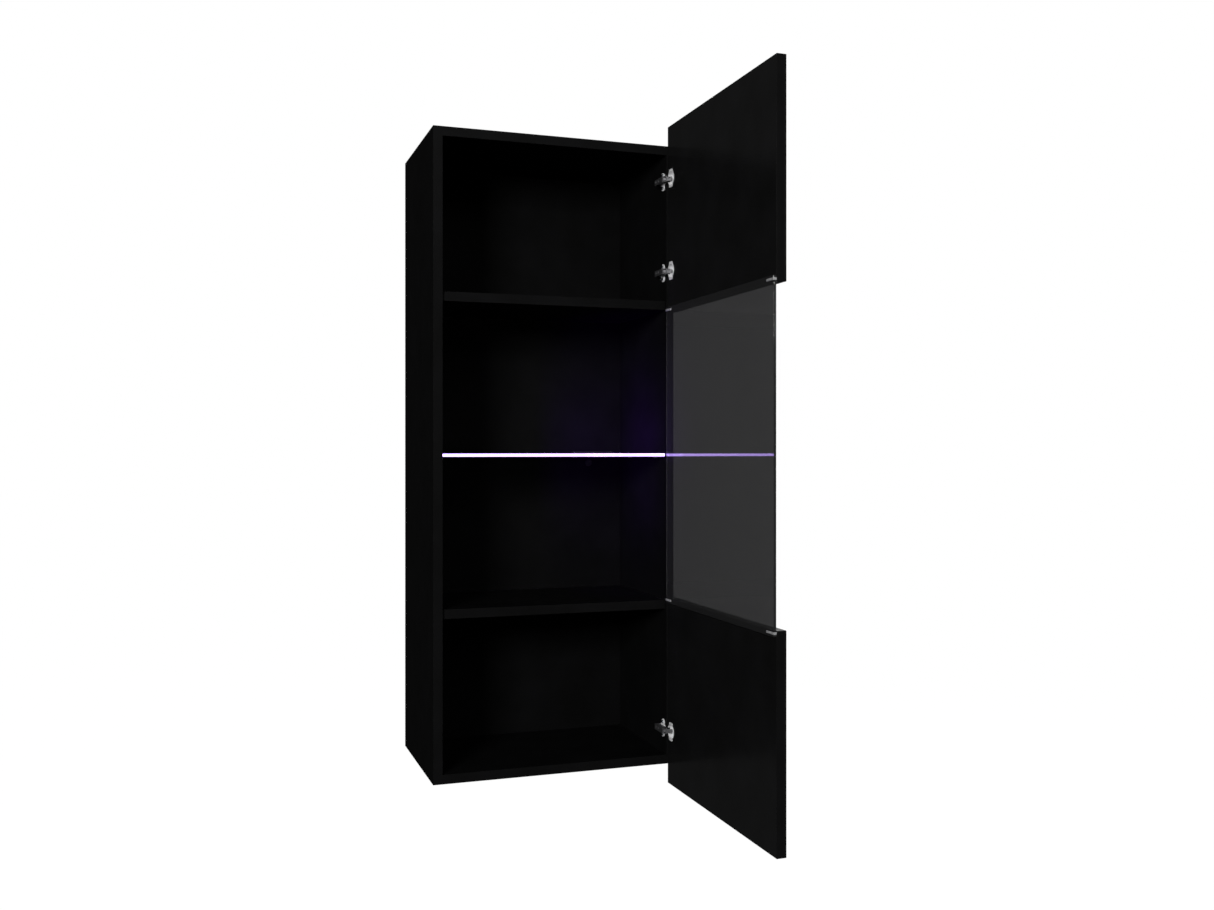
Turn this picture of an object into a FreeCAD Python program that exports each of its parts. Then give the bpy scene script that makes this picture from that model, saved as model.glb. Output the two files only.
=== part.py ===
import FreeCAD, Part
import math
import os
import Sketcher
from FreeCAD import Placement, Rotation, Vector

# Hanging wall cabinet with one glazed door, modelled with the door standing open at 90 degrees.
# Frame: X across the cabinet, +X towards the hinge side; Y into the wall, the wall face is Y = 0
# and the cabinet's front edges are at Y = -body_depth; +Z up. The origin is on the wall face,
# midway between the two screws of the wall rail.

doc = FreeCAD.newDocument("WallCabinet")
sheet = doc.addObject("Spreadsheet::Sheet", "Sizes")

SIZES = {
    # carcass
    "body_width": 435, "body_height": 1105, "body_depth": 290, "board": 16,
    "screw_drop": 60, "shelf_offset": 260, "shelf_recess": 6,
    "back_thick": 3, "back_inset": 35, "groove_depth": 7, "groove_play": 0.2, "fit_gap": 0.1,
    # glass shelf, its supports and its light
    "shelf_glass": 6, "shelf_glass_depth": 228, "shelf_glass_play": 1,
    "support_front": 45, "support_rear": 190, "support_radius": 2.5, "support_reach": 9,
    "support_bore": 9,
    "clip_from": 96, "clip_length": 80, "clip_depth": 16, "clip_height": 12, "clip_wall": 2,
    "grommet_across": 136, "grommet_below": 16, "grommet_radius": 5, "grommet_web": 0.8,
    # door
    "door_height": 1170, "door_width": 433, "door_thick": 16, "door_stand": 6, "front_gap": 6.5,
    "side_reveal": 1, "door_opening": 508, "edge_round": 0.6,
    "pane": 4, "pane_overlap": 9, "pane_hinge_inset": 3.5, "pane_free_inset": 1.2,
    "corner_clip": 24, "corner_clip_wall": 1, "corner_clip_tall": 3.6, "corner_clip_set": 3.5,
    "clip_screw": 1,
    # hinges, with the pins placed from the body's outer right edge and front edge
    "hinge_end": 94, "hinge_second": 258, "cup_centre": 16, "cup_radius": 12.9, "cup_depth": 10,
    "cup_wall": 0.8, "cup_rim": 0.6, "flange_wide": 15, "flange_tall": 32, "flange_thick": 0.8,
    "outer_pin_across": 21.5, "outer_pin_ahead": 13, "inner_pin_across": 24.5,
    "inner_pin_ahead": 8, "outer_cup_pin": 6.5, "inner_cup_pin": 3.5,
    "pin_radius": 0.9, "pin_play": 0.05, "press_play": 0.02,
    "link_half": 1.6, "inner_link_half": 2.2, "cheek_from": 2.5, "cheek_to": 3.5,
    "mouth_half": 5.2, "mouth_deep": 3,
    "plate_top": 2.4, "wing_thick": 1.8, "wing_reach": 16, "wing_width": 12, "wing_ahead": 8,
    "arm_top": 11.5, "arm_wall": 1, "arm_half": 5, "arm_length": 26, "arm_start": 3,
    "rib_half": 3.4, "rib_start": 6, "rib_length": 22,
    "arm_screw_front": 12, "arm_screw_rear": 23, "arm_screw": 1.5, "plate_screw_rise": 11,
    # knock-down fittings
    "cam_radius": 7.5, "cam_depth": 12.5, "cam_reach": 34, "cam_front": 40, "cam_rear": 215,
    "dowel_radius": 4, "dowel_in_side": 11, "dowel_in_board": 21, "dowel_shift": 32,
    "bolt_radius": 2.5, "bolt_bore": 3.5,
    # wall fixing
    "rail_length": 380, "rail_down": 20, "rail_up": 24, "rail_steel": 2, "rail_step": 6,
    "rail_hole": 3.5, "rail_spacing": 300, "hanger_wide": 22, "hanger_tall": 60,
    "hanger_screw_back": 22,
    "screw_radius": 1.75, "screw_head": 3.4, "screw_bore": 12,
}
for row, (alias, number) in enumerate(SIZES.items(), start=1):
    sheet.set(f"A{row}", alias)
    sheet.set(f"B{row}", str(number))
    sheet.setAlias(f"B{row}", alias)
doc.recompute()


def size(alias):
    """The number that the sheet holds under this alias."""
    return float(sheet.get(alias))


# Expressions for the places that many pieces share.
HALF = "(Sizes.body_width / 2)"
INNER = "(Sizes.body_width / 2 - Sizes.board)"
FRONT = "(0 - Sizes.body_depth)"
TOP = "Sizes.screw_drop"
BOTTOM = "(Sizes.screw_drop - Sizes.body_height)"
MIDDLE = "(Sizes.screw_drop - Sizes.body_height / 2)"
BACK_FACE = "(0 - Sizes.back_inset)"
DOOR_EDGE = "(0 - Sizes.body_depth - Sizes.door_stand)"

# The same places as numbers, for shapes that are worked out in code.
half = size("body_width") / 2
inner = half - size("board")
front = -size("body_depth")
top = size("screw_drop")
bottom = top - size("body_height")
middle = top - size("body_height") / 2
door_edge = front - size("door_stand")

# The door turns about this vertical axis: it takes the closed door, front_gap ahead of the
# carcass, to the open one, whose inner face is in line with the side panel's inner face.
pivot_back = (size("door_stand") + size("door_thick") + size("front_gap")
              - size("side_reveal")) / 2
pivot = Vector(half - size("door_thick") - size("front_gap") + pivot_back, front - pivot_back, 0)

# Screws of the wing plates, from the carcass's front, and of the hangers, from the origin.
PLATE_SCREW_Y = "(0 - Sizes.body_depth + Sizes.wing_ahead + Sizes.wing_width / 2)"
HANGER_SCREW_HEIGHTS = (-18, 2, 22)
ARM_SCREWS = ("arm_screw_front", "arm_screw_rear")

# Hinge heights on the door: two on the upper panel, one on the lower.
door_top = middle + size("door_height") / 2
door_bottom = middle - size("door_height") / 2
HINGES = {
    "top": door_top - size("hinge_end"),
    "middle": door_top - size("hinge_second"),
    "bottom": door_bottom + size("hinge_end"),
}
X_AXIS = Vector(1, 0, 0)
Y_AXIS = Vector(0, 1, 0)
Z_AXIS = Vector(0, 0, 1)

parts = []


# ---------------------------------------------------------------- PartDesign helpers

def new_body(label, x=0, y=0, z=0):
    """A body placed by expressions; it is one sub-part."""
    body = doc.addObject("PartDesign::Body", label)
    body.Label = label
    for axis, text in zip("xyz", (x, y, z)):
        body.setExpression(f"Placement.Base.{axis}", str(text))
    parts.append(body)
    return body


def new_sketch(body, role):
    """An empty sketch on one of the body's own origin planes."""
    sketch = body.newObject("Sketcher::SketchObject", f"{body.Label}_{role[:2]}")
    plane = [item for item in body.Origin.OriginFeatures if item.Role == role][0]
    sketch.AttachmentSupport = [(plane, "")]
    sketch.MapMode = "FlatFace"
    return sketch


def bind_new(sketch, constraint, text):
    """Add one dimension to a sketch and bind it to an expression."""
    index = sketch.addConstraint(constraint)
    sketch.setExpression(f"Constraints[{index}]", str(text))


def rectangle(sketch, left, low, wide, tall):
    """A rectangle from its low corner and its size, each an expression in the sketch's axes."""
    doc.recompute()
    corners = [Vector(1, 1, 0), Vector(2, 1, 0), Vector(2, 2, 0), Vector(1, 2, 0)]
    first = sketch.GeometryCount
    for start, end in zip(corners, corners[1:] + corners[:1]):
        sketch.addGeometry(Part.LineSegment(start, end), False)
    for side in range(4):
        after = first + (side + 1) % 4
        sketch.addConstraint(Sketcher.Constraint("Coincident", first + side, 2, after, 1))
    for side in (0, 2):
        sketch.addConstraint(Sketcher.Constraint("Horizontal", first + side))
        sketch.addConstraint(Sketcher.Constraint("Vertical", first + side + 1))
    bind_new(sketch, Sketcher.Constraint("DistanceX", -1, 1, first, 1, 1.0), left)
    bind_new(sketch, Sketcher.Constraint("DistanceY", -1, 1, first, 1, 1.0), low)
    bind_new(sketch, Sketcher.Constraint("DistanceX", first, 1, first, 2, 1.0), wide)
    bind_new(sketch, Sketcher.Constraint("DistanceY", first + 1, 1, first + 1, 2, 1.0), tall)


def circle(sketch, across, up, radius):
    """A circle from its centre and radius, each an expression in the sketch's axes."""
    doc.recompute()
    index = sketch.addGeometry(Part.Circle(Vector(5, 5, 0), Z_AXIS, 1), False)
    bind_new(sketch, Sketcher.Constraint("DistanceX", -1, 1, index, 3, 5.0), across)
    bind_new(sketch, Sketcher.Constraint("DistanceY", -1, 1, index, 3, 5.0), up)
    bind_new(sketch, Sketcher.Constraint("Radius", index, 1.0), radius)


def outline(sketch, points):
    """A closed outline of straight lines between points in the sketch's axes."""
    ring = [Vector(across, up, 0) for across, up in points]
    for start, end in zip(ring, ring[1:] + ring[:1]):
        sketch.addGeometry(Part.LineSegment(start, end), False)


def pad(body, sketch, length, backwards=False):
    """Add material along the sketch's normal, or against it."""
    feature = body.newObject("PartDesign::Pad", f"{sketch.Name}_pad")
    feature.Profile = sketch
    feature.Reversed = backwards
    feature.setExpression("Length", str(length))
    doc.recompute()
    return feature


def pocket(body, sketch, depth, along_normal):
    """Cut material along the sketch's normal, or against it, and make sure that it did."""
    before = body.Shape.Volume
    feature = body.newObject("PartDesign::Pocket", f"{sketch.Name}_pocket")
    feature.Profile = sketch
    feature.Reversed = along_normal
    feature.setExpression("Length", str(depth))
    doc.recompute()
    if body.Shape.Volume > before - 0.1:
        raise RuntimeError(f"{feature.Name} cuts nothing")
    return feature


def round_edges(body, chosen, radius):
    """Round the edges for which chosen(edge) is true."""
    solid = body.Tip
    names = [f"Edge{n + 1}" for n, edge in enumerate(body.Shape.Edges) if chosen(edge)]
    fillet = body.newObject("PartDesign::Fillet", f"{body.Label}_rounded")
    fillet.Base = (solid, names)
    fillet.setExpression("Radius", str(radius))
    body.Tip = fillet
    doc.recompute()


# ---------------------------------------------------------------- Part helpers

def box(name, corner, extent):
    """A Part::Box from its low corner and extent, each three expressions."""
    piece = doc.addObject("Part::Box", name)
    for prop, text in zip(("Length", "Width", "Height"), extent):
        piece.setExpression(prop, str(text))
    for axis, text in zip("xyz", corner):
        piece.setExpression(f"Placement.Base.{axis}", str(text))
    return piece


def rod(name, start, direction, radius, length):
    """A Part::Cylinder from its start point, direction, radius and length."""
    piece = doc.addObject("Part::Cylinder", name)
    piece.Placement = Placement(Vector(), Rotation(Z_AXIS, direction))
    piece.setExpression("Radius", str(radius))
    piece.setExpression("Height", str(length))
    for axis, text in zip("xyz", start):
        piece.setExpression(f"Placement.Base.{axis}", str(text))
    return piece


def fused(name, pieces):
    piece = doc.addObject("Part::MultiFuse", name)
    piece.Shapes = pieces
    return piece


def cut(name, base, tools):
    piece = doc.addObject("Part::Cut", name)
    piece.Base = base
    piece.Tool = tools[0] if len(tools) == 1 else fused(f"{name}_tools", tools)
    return piece


def keep(piece, label):
    """Take a Part object as a finished sub-part under this label."""
    piece.Label = label
    parts.append(piece)
    return piece


def group(label, shape, places):
    """Identical loose fasteners in one node: copies of one shape, each a separate solid."""
    copies = []
    for place in places:
        copy = shape.copy()
        copy.Placement = place
        copies.append(copy)
    feature = doc.addObject("Part::Feature", label)
    feature.Shape = Part.makeCompound(copies)
    return keep(feature, label)


def turned(profile):
    """A solid of revolution about +Z from (radius, height) corners."""
    points = [Vector(radius, 0, height) for radius, height in profile]
    face = Part.Face(Part.makePolygon(points + points[:1]))
    return face.revolve(Vector(), Z_AXIS, 360)


def facing(direction, x, y, z):
    """A placement that turns +Z to this direction at this point."""
    return Placement(Vector(x, y, z), Rotation(Z_AXIS, direction))


def cross_recess(shape, height, reach, depth):
    """Cut a cross recess for a driver into the top of a turned shape."""
    blade = reach / 3
    along_x = Part.makeBox(2 * reach, blade, depth, Vector(-reach, -blade / 2, height - depth))
    along_y = Part.makeBox(blade, 2 * reach, depth, Vector(-blade / 2, -reach, height - depth))
    return shape.cut([along_x, along_y])


def wood_screw(length, head_radius, head_height, bore="screw_radius"):
    """A pan-head wood screw standing on Z = 0, with its point towards -Z, for a bore of this radius."""
    shank = size(bore) - size("fit_gap") / 2
    tip = 2.0
    profile = [(0, -length), (shank, tip - length), (shank, 0), (head_radius, 0),
               (head_radius, head_height * 0.4), (head_radius * 0.75, head_height * 0.85),
               (head_radius * 0.4, head_height), (0, head_height)]
    return cross_recess(turned(profile), head_height, head_radius * 0.55, head_height * 0.6)


# ---------------------------------------------------------------- carcass

# Heights of the four horizontal boards' lower faces.
LEVELS = {
    "top_panel": f"{TOP} - Sizes.board",
    "bottom_panel": BOTTOM,
    "upper_shelf": f"{MIDDLE} + Sizes.shelf_offset",
    "lower_shelf": f"{MIDDLE} - Sizes.shelf_offset - Sizes.board",
}
board = size("board")
LEVEL_HEIGHTS = {
    "top_panel": top - board,
    "bottom_panel": bottom,
    "upper_shelf": middle + size("shelf_offset"),
    "lower_shelf": middle - size("shelf_offset") - board,
}


def side_panel(label, x, inner_x, sign):
    """A full-height side board. inner_x is its inner face and sign points into the cabinet."""
    body = new_body(label, x, FRONT, BOTTOM)
    sketch = new_sketch(body, "YZ_Plane")
    rectangle(sketch, 0, 0, "Sizes.body_depth", "Sizes.body_height")
    pad(body, sketch, "Sizes.board")

    # Groove for the back panel, over the full height.
    groove = new_sketch(body, "XY_Plane")
    groove_left = "Sizes.board - Sizes.groove_depth" if sign > 0 else "0"
    rectangle(groove, groove_left,
              "Sizes.body_depth - Sizes.back_inset - Sizes.groove_play / 2",
              "Sizes.groove_depth", "Sizes.back_thick + Sizes.groove_play")
    pocket(body, groove, "Sizes.body_height", True)

    # Bores for the cam bolts and dowels of the four boards, all from the inner face.
    bolt_bores = []
    dowel_bores = []
    inward = Vector(-sign, 0, 0)
    for level_name, level in LEVELS.items():
        height = f"{level} + Sizes.board / 2"
        for spot in ("cam_front", "cam_rear"):
            name = f"{label}_{level_name}_{spot}"
            bolt_bores.append(rod(name, (inner_x, f"{FRONT} + Sizes.{spot}", height), inward,
                                  "Sizes.bolt_radius + Sizes.fit_gap", "Sizes.dowel_in_side"))
        for spot in ("Sizes.cam_front + Sizes.dowel_shift", "Sizes.cam_rear - Sizes.dowel_shift"):
            name = f"{label}_{level_name}_dowel"
            dowel_bores.append(rod(name, (inner_x, f"{FRONT} + {spot}", height), inward,
                                   "Sizes.dowel_radius + Sizes.fit_gap", "Sizes.dowel_in_side"))

    # Bores for the glass shelf's supports and for the hanger's screws.
    support_bores = []
    for spot in ("support_front", "support_rear"):
        height = f"{MIDDLE} - Sizes.shelf_glass / 2 - Sizes.support_radius"
        support_bores.append(rod(f"{label}_{spot}", (inner_x, f"{FRONT} + Sizes.{spot}", height),
                                 inward, "Sizes.support_radius + Sizes.fit_gap",
                                 "Sizes.support_bore"))
    hanger_bores = []
    for drop in HANGER_SCREW_HEIGHTS:
        hanger_bores.append(rod(f"{label}_hanger", (inner_x, "0 - Sizes.hanger_screw_back", drop),
                                inward, "Sizes.screw_radius", "Sizes.screw_bore"))
    bores = bolt_bores + dowel_bores + support_bores + hanger_bores

    # The hinge side also takes two screws for each hinge plate.
    if sign < 0:
        for height in HINGES.values():
            for wing in (-1, 1):
                screw_z = f"{height} + {wing} * Sizes.plate_screw_rise"
                bores.append(rod(f"{label}_plate", (inner_x, PLATE_SCREW_Y, screw_z), inward,
                                 "Sizes.screw_radius", "Sizes.screw_bore"))
    parts.remove(body)
    body.Label = f"{label}_blank"
    keep(cut(f"{label}_bored", body, bores), label)


def cross_board(label, depth, y, cams_above, grooved):
    """A board between the sides, with a cam bore near each end and end bores for the bolts."""
    body = new_body(label, f"0 - {INNER}", y, LEVELS[label])
    sketch = new_sketch(body, "XY_Plane")
    rectangle(sketch, 0, 0, f"2 * {INNER}", depth)
    pad(body, sketch, "Sizes.board")
    if grooved:
        groove = new_sketch(body, "YZ_Plane")
        groove_low = "0" if label == "top_panel" else "Sizes.board - Sizes.groove_depth"
        rectangle(groove, "Sizes.body_depth - Sizes.back_inset - Sizes.groove_play / 2",
                  groove_low, "Sizes.back_thick + Sizes.groove_play", "Sizes.groove_depth")
        pocket(body, groove, f"2 * {INNER}", True)

    bores = []
    level = LEVELS[label]
    face = f"{level} + Sizes.board" if cams_above else level
    into = Vector(0, 0, -1) if cams_above else Z_AXIS
    for side in (-1, 1):
        end_x = f"{side} * {INNER}"
        inward = Vector(-side, 0, 0)
        mid = f"{level} + Sizes.board / 2"
        for spot in ("cam_front", "cam_rear"):
            y_text = f"{FRONT} + Sizes.{spot}"
            bores.append(rod(f"{label}_cam", (f"{side} * ({INNER} - Sizes.cam_reach)", y_text,
                                              face), into,
                             "Sizes.cam_radius + Sizes.fit_gap", "Sizes.cam_depth"))
            bores.append(rod(f"{label}_bolt", (end_x, y_text, mid), inward,
                             "Sizes.bolt_bore", "Sizes.cam_reach"))
        for spot in ("Sizes.cam_front + Sizes.dowel_shift", "Sizes.cam_rear - Sizes.dowel_shift"):
            bores.append(rod(f"{label}_dowel", (end_x, f"{FRONT} + {spot}", mid), inward,
                             "Sizes.dowel_radius + Sizes.fit_gap", "Sizes.dowel_in_board"))
    parts.remove(body)
    body.Label = f"{label}_blank"
    keep(cut(f"{label}_bored", body, bores), label)


def back_panel():
    """The thin back board in the grooves, with a hole for the cable grommet."""
    reach = "(Sizes.groove_depth - Sizes.groove_play)"
    body = new_body("back_panel", f"0 - {INNER} - {reach}", BACK_FACE,
                    f"{BOTTOM} + Sizes.board - {reach}")
    sketch = new_sketch(body, "XZ_Plane")
    rectangle(sketch, 0, 0, f"2 * {INNER} + 2 * {reach}",
              f"Sizes.body_height - 2 * Sizes.board + 2 * {reach}")
    pad(body, sketch, "Sizes.back_thick", backwards=True)
    hole = new_sketch(body, "XZ_Plane")
    circle(hole, f"{INNER} + {reach} + Sizes.grommet_across",
           f"{MIDDLE} - Sizes.grommet_below - {BOTTOM} - Sizes.board + {reach}",
           "Sizes.grommet_radius + Sizes.fit_gap")
    pocket(body, hole, "Sizes.back_thick", False)


def cable_grommet():
    """A flanged bush in the back panel's cable hole, closed by a thin web that a lead is pushed through."""
    radius = size("grommet_radius")
    thick = size("back_thick")
    web = size("grommet_web")
    bore, flange, lip = radius - 1.2, radius + 2, 1.2
    profile = [(0, 0), (bore, 0), (bore, -lip), (flange - 0.6, -lip), (flange, 0), (radius, 0),
               (radius, thick), (radius + 0.8, thick), (radius + 0.4, thick + 1.6),
               (bore, thick + 1.6), (bore, web), (0, web)]
    place = facing(Y_AXIS, size("grommet_across"), -size("back_inset"),
                   middle - size("grommet_below"))
    group("cable_grommet", turned(profile), [place])


# ---------------------------------------------------------------- knock-down fittings

def fitting_places():
    """Each fitting's level, side and distance from the front, for the cams and for the dowels."""
    cams = []
    dowels = []
    for label, low in LEVEL_HEIGHTS.items():
        for side in (-1, 1):
            for spot, shift in (("cam_front", 1), ("cam_rear", -1)):
                y = front + size(spot)
                cams.append((label, low + board / 2, side, y))
                dowels.append((label, low + board / 2, side, y + shift * size("dowel_shift")))
    return cams, dowels


def fittings():
    """Cam locks, their bolts, their cover caps and the wooden dowels."""
    cams, dowels = fitting_places()
    radius = size("cam_radius")
    tall = size("cam_depth") - 1.5
    play = size("fit_gap")

    # The cam lies around the bolt's head, so a slot runs into it from the bolt's side.
    cam = Part.makeCylinder(radius, tall)
    slot = Part.makeBox(radius + 1, 2 * size("bolt_bore"), 2 * size("bolt_bore"),
                        Vector(-1, -size("bolt_bore"), tall - 8.0 + 1.5 - size("bolt_bore")))
    cam = cross_recess(cam.cut(slot), tall, radius * 0.6, 2.0)
    cap = turned([(0, 0), (radius - play, 0), (radius - play, 1.0), (radius + 1, 1.0),
                  (radius + 0.6, 1.8), (0, 1.8)])
    cam_places = []
    cap_places = []
    for label, mid, side, y in cams:
        up = 1 if label in ("top_panel", "upper_shelf") else -1
        x = side * (inner - size("cam_reach"))
        depth_z = mid + up * (board / 2 - size("cam_depth"))
        turn = Rotation(Z_AXIS, 0 if side > 0 else 180)
        tilt = Rotation() if up > 0 else Rotation(X_AXIS, 180)
        cam_places.append(Placement(Vector(x, y, depth_z), turn.multiply(tilt)))
        cap_z = mid + up * (board / 2 - 1.0)
        cap_places.append(Placement(Vector(x, y, cap_z), turn.multiply(tilt)))
    group("cam_locks", cam, cam_places)
    group("cam_covers", cap, cap_places)

    # Bolt: threaded end in the side panel, collar at the joint, neck and head in the cam.
    bolt_r = size("bolt_radius")
    reach = size("cam_reach")
    bolt = turned([(0, -10), (bolt_r - 0.8, -10), (bolt_r, -8.5), (bolt_r, 0), (bolt_r + 0.7, 0),
                   (bolt_r + 0.7, 20), (1.6, 21.5), (1.6, reach - 4.5), (3.0, reach - 4.0),
                   (3.0, reach - 1.5), (2.2, reach - 0.8), (0, reach - 0.8)])
    bolts = [facing(Vector(-side, 0, 0), side * inner, y, mid) for _, mid, side, y in cams]
    group("cam_bolts", bolt, bolts)

    dowel_r = size("dowel_radius")
    short = size("dowel_in_side") - 0.5
    long = size("dowel_in_board") - 0.5
    dowel = turned([(0, -short), (dowel_r - 1, -short), (dowel_r, 1 - short),
                    (dowel_r, long - 1), (dowel_r - 1, long), (0, long)])
    pegs = [facing(Vector(-side, 0, 0), side * inner, y, mid) for _, mid, side, y in dowels]
    group("wooden_dowels", dowel, pegs)


# ---------------------------------------------------------------- glass shelf and its light

def glass_shelf():
    """The loose glass shelf at mid-height, with its arrises taken off."""
    play = "Sizes.shelf_glass_play"
    body = new_body("glass_shelf", f"{play} - {INNER}", f"{FRONT} + Sizes.shelf_recess",
                    f"{MIDDLE} - Sizes.shelf_glass / 2")
    sketch = new_sketch(body, "XY_Plane")
    rectangle(sketch, 0, 0, f"2 * {INNER} - 2 * {play}", "Sizes.shelf_glass_depth")
    pad(body, sketch, "Sizes.shelf_glass")
    round_edges(body, lambda edge: True, 0.4)


def shelf_supports():
    """Four pins in the side panels; a flat pad on each carries the glass."""
    radius = size("support_radius")
    reach = size("support_reach")
    pin = turned([(0, -8), (radius - 0.6, -8), (radius, -7.4), (radius, 0), (radius + 1.2, 0),
                  (radius + 1.2, 1.2), (radius, 1.2), (radius, reach - 0.5), (radius - 0.5, reach),
                  (0, reach)])
    height = middle - size("shelf_glass") / 2 - radius
    trim = Part.makeBox(40, 40, 10, Vector(-20, -20, radius))
    places = []
    for side in (-1, 1):
        for spot in ("support_front", "support_rear"):
            places.append(facing(Vector(-side, 0, 0), side * inner, front + size(spot), height))
    copies = []
    for place in places:
        copy = pin.copy()
        copy.Placement = place
        trim.Placement = Placement(place.Base, Rotation())
        copies.append(copy.cut(trim))
    feature = doc.addObject("Part::Feature", "shelf_supports")
    feature.Shape = Part.makeCompound(copies)
    keep(feature, "shelf_supports")


def shelf_light():
    """An aluminium clip on the shelf's rear edge, with a strip of light diodes inside."""
    rear = f"({FRONT} + Sizes.shelf_recess + Sizes.shelf_glass_depth)"
    clip_front = f"({rear} + 6 - Sizes.clip_depth)"
    body = new_body("led_clip", "Sizes.clip_from", clip_front,
                    f"{MIDDLE} - Sizes.clip_height / 2")
    sketch = new_sketch(body, "YZ_Plane")
    rectangle(sketch, 0, 0, "Sizes.clip_depth", "Sizes.clip_height")
    pad(body, sketch, "Sizes.clip_length")
    slot = new_sketch(body, "YZ_Plane")
    rectangle(slot, 0, "(Sizes.clip_height - Sizes.shelf_glass) / 2 - Sizes.fit_gap",
              "Sizes.clip_depth - Sizes.clip_wall", "Sizes.shelf_glass + 2 * Sizes.fit_gap")
    pocket(body, slot, "Sizes.clip_length", True)
    round_edges(body, lambda edge: edge.Length > size("clip_length") - 1
                and abs(edge.CenterOfMass.z - middle) > size("clip_height") / 2 - 0.1, 1.0)

    # Board against the clip's web, with the diodes facing the glass.
    clip_back = front + size("shelf_recess") + size("shelf_glass_depth") + 6
    web = clip_back - size("clip_wall")
    board_thick, board_half, chip = 1.2, 2.6, 2.0
    start = size("clip_from") + 2
    length = size("clip_length") - 4
    strip = Part.makeBox(length, board_thick, 2 * board_half,
                         Vector(start, web - board_thick, middle - board_half))
    count = 6
    solids = [strip]
    for number in range(count):
        x = start + length * (number + 0.5) / count - chip / 2
        solids.append(Part.makeBox(chip, 1.6, chip,
                                   Vector(x, web - board_thick - 1.6, middle - chip / 2)))
    feature = doc.addObject("Part::Feature", "led_board")
    feature.Shape = Part.makeCompound(solids)
    keep(feature, "led_board")


# ---------------------------------------------------------------- door

def door_panel(label, up, low, tall, hinge_heights):
    """One solid door panel, above (up = 1) or below (up = -1) the pane, bored for its cups."""
    body = new_body(label, INNER, f"{DOOR_EDGE} - Sizes.door_width", low)
    sketch = new_sketch(body, "YZ_Plane")
    rectangle(sketch, 0, 0, "Sizes.door_width", tall)
    pad(body, sketch, "Sizes.door_thick")
    round_edges(body, lambda edge: True, "Sizes.edge_round")
    bores = []
    for height in hinge_heights:
        start = (INNER, f"{DOOR_EDGE} - Sizes.cup_centre", height)
        bores.append(rod(f"{label}_cup", start, X_AXIS, "Sizes.cup_radius + Sizes.fit_gap",
                         "Sizes.cup_depth + 0.6"))
    for end in (-1, 1):
        z = middle + up * clip_screw_height()
        bores.append(rod(f"{label}_clip", (INNER, clip_screw_y(end), z), X_AXIS,
                         "Sizes.clip_screw", 10))
    parts.remove(body)
    body.Label = f"{label}_blank"
    keep(cut(f"{label}_bored", body, bores), label)


def clip_screw_height():
    """Distance of the corner clips' screws from mid-height: the clips lie over the panels' edges."""
    return size("door_opening") / 2 + size("corner_clip_set")


def clip_ends():
    """Where the corner clips start along Y: the hinge end and the free end of the pane."""
    wall = size("corner_clip_wall")
    hinge_end = door_edge - size("pane_hinge_inset") + wall
    free_end = door_edge - size("door_width") + size("pane_free_inset") - wall
    return hinge_end, free_end


def clip_screw_y(end):
    hinge_end, free_end = clip_ends()
    half_clip = size("corner_clip") / 2
    return hinge_end - half_clip if end > 0 else free_end + half_clip


def door_glass():
    """The tinted pane on the panels' inner faces, bored at its corners for the clips' screws."""
    body = new_body("door_glass", f"{INNER} - Sizes.pane",
                    f"{DOOR_EDGE} - Sizes.door_width + Sizes.pane_free_inset",
                    f"{MIDDLE} - Sizes.door_opening / 2 - Sizes.pane_overlap")
    sketch = new_sketch(body, "YZ_Plane")
    rectangle(sketch, 0, 0, "Sizes.door_width - Sizes.pane_free_inset - Sizes.pane_hinge_inset",
              "Sizes.door_opening + 2 * Sizes.pane_overlap")
    pad(body, sketch, "Sizes.pane")
    round_edges(body, lambda edge: True, 0.4)
    bores = [rod("pane_bore", (f"{INNER} - Sizes.pane - 1", clip_screw_y(end),
                               middle + up * clip_screw_height()), X_AXIS,
                 "Sizes.clip_screw + Sizes.fit_gap", "Sizes.pane + 2")
             for end in (1, -1) for up in (1, -1)]
    parts.remove(body)
    body.Label = "door_glass_blank"
    keep(cut("door_glass_bored", body, bores), "door_glass")


def corner_clip(end, up):
    """A slim stamped clip: a bar over the pane, with an end wall round the pane's vertical edge."""
    wall = size("corner_clip_wall")
    length = size("corner_clip")
    tall = size("corner_clip_tall")
    edge = clip_ends()[0 if end > 0 else 1]
    low_y = edge - length if end > 0 else edge
    lift = size("pane") + wall
    gap = size("fit_gap")
    low_z = middle + up * clip_screw_height() - tall / 2
    wall_y = edge - wall + gap if end > 0 else edge
    bar = Part.makeBox(wall, length, tall, Vector(inner - lift, low_y, low_z))
    end_wall = Part.makeBox(lift, wall - gap, tall, Vector(inner - lift, wall_y, low_z))
    clip = bar.fuse(end_wall).removeSplitter()
    outer = [e for e in clip.Edges if abs(e.CenterOfMass.x - (inner - lift)) < 0.01]
    clip = clip.makeFillet(0.45, outer)
    hole = Part.makeCylinder(size("clip_screw") + gap, wall + 2,
                             Vector(inner - lift - 1, clip_screw_y(end), low_z + tall / 2), X_AXIS)
    return clip.cut(hole)


def door_clips():
    """Four corner clips and the screws that hold them."""
    corners = [(end, up) for end in (1, -1) for up in (1, -1)]
    feature = doc.addObject("Part::Feature", "glass_clips")
    feature.Shape = Part.makeCompound([corner_clip(end, up) for end, up in corners])
    keep(feature, "glass_clips")
    seat_x = inner - size("pane") - size("corner_clip_wall")
    places = [facing(Vector(-1, 0, 0), seat_x, clip_screw_y(end),
                     middle + up * clip_screw_height()) for end, up in corners]
    group("clip_screws", wood_screw(13, 1.7, 0.8, "clip_screw"), places)


# ---------------------------------------------------------------- hinges


def pin_point(across, ahead):
    """A pin on the arm, from the right outer edge and the front edge of the carcass."""
    return Vector(half - size(across), front - size(ahead), 0)


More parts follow.
